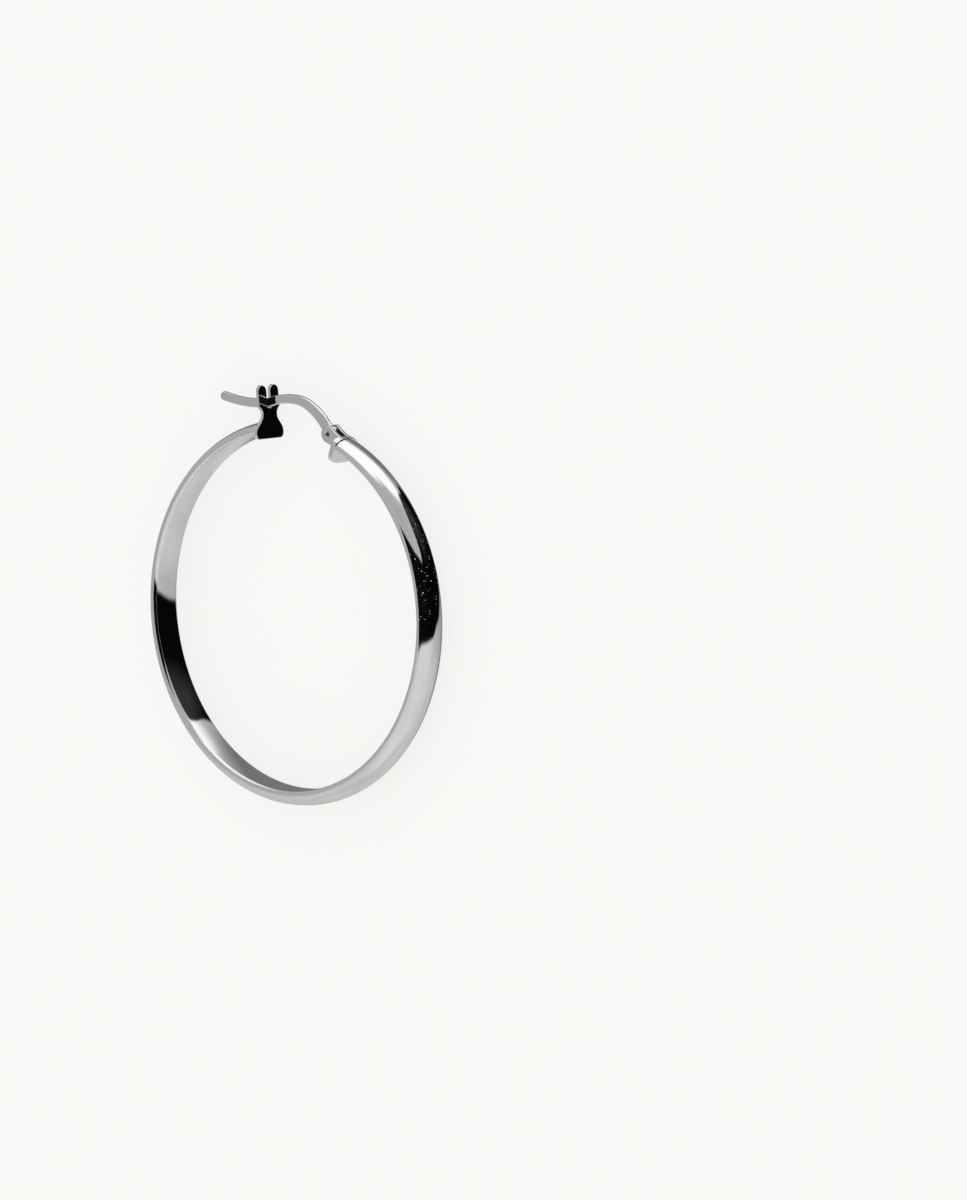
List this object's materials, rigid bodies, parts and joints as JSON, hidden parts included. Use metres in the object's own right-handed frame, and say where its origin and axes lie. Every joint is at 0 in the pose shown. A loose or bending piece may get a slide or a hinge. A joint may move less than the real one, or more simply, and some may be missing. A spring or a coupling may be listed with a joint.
{
  "type": "hinged hoop earring",
  "caption": "Slim domed hoop earring with a hinged arched ear wire that closes into a notched catch plate.",
  "frame": {"origin": "middle of the bounding box, on the surface that the hoop lies on", "axes": "+Z is the hoop's axis, straight up as it lies on its side; +Y points from the hoop's centre to the gap for the ear; +X runs across from the catch plate to the hinge"},
  "size_m": [0.04, 0.0434, 0.004],
  "materials": {
    "polished_silver": "mirror polished silver with very fine polishing lines"
  },
  "bodies": {
    "hoop_body": {"hoop": "polished_silver", "hinge_pin": "polished_silver"},
    "wire_body": {"ear_wire": "polished_silver"}
  },
  "joints": [
    {"name": "ear_wire_hinge", "type": "hinge", "parent": "hoop_body", "child": "wire_body", "pos_m": [0.00531, 0.01725, 0.00199], "axis": [0, 0, -1], "range_deg": [0, 100]}
  ]
}
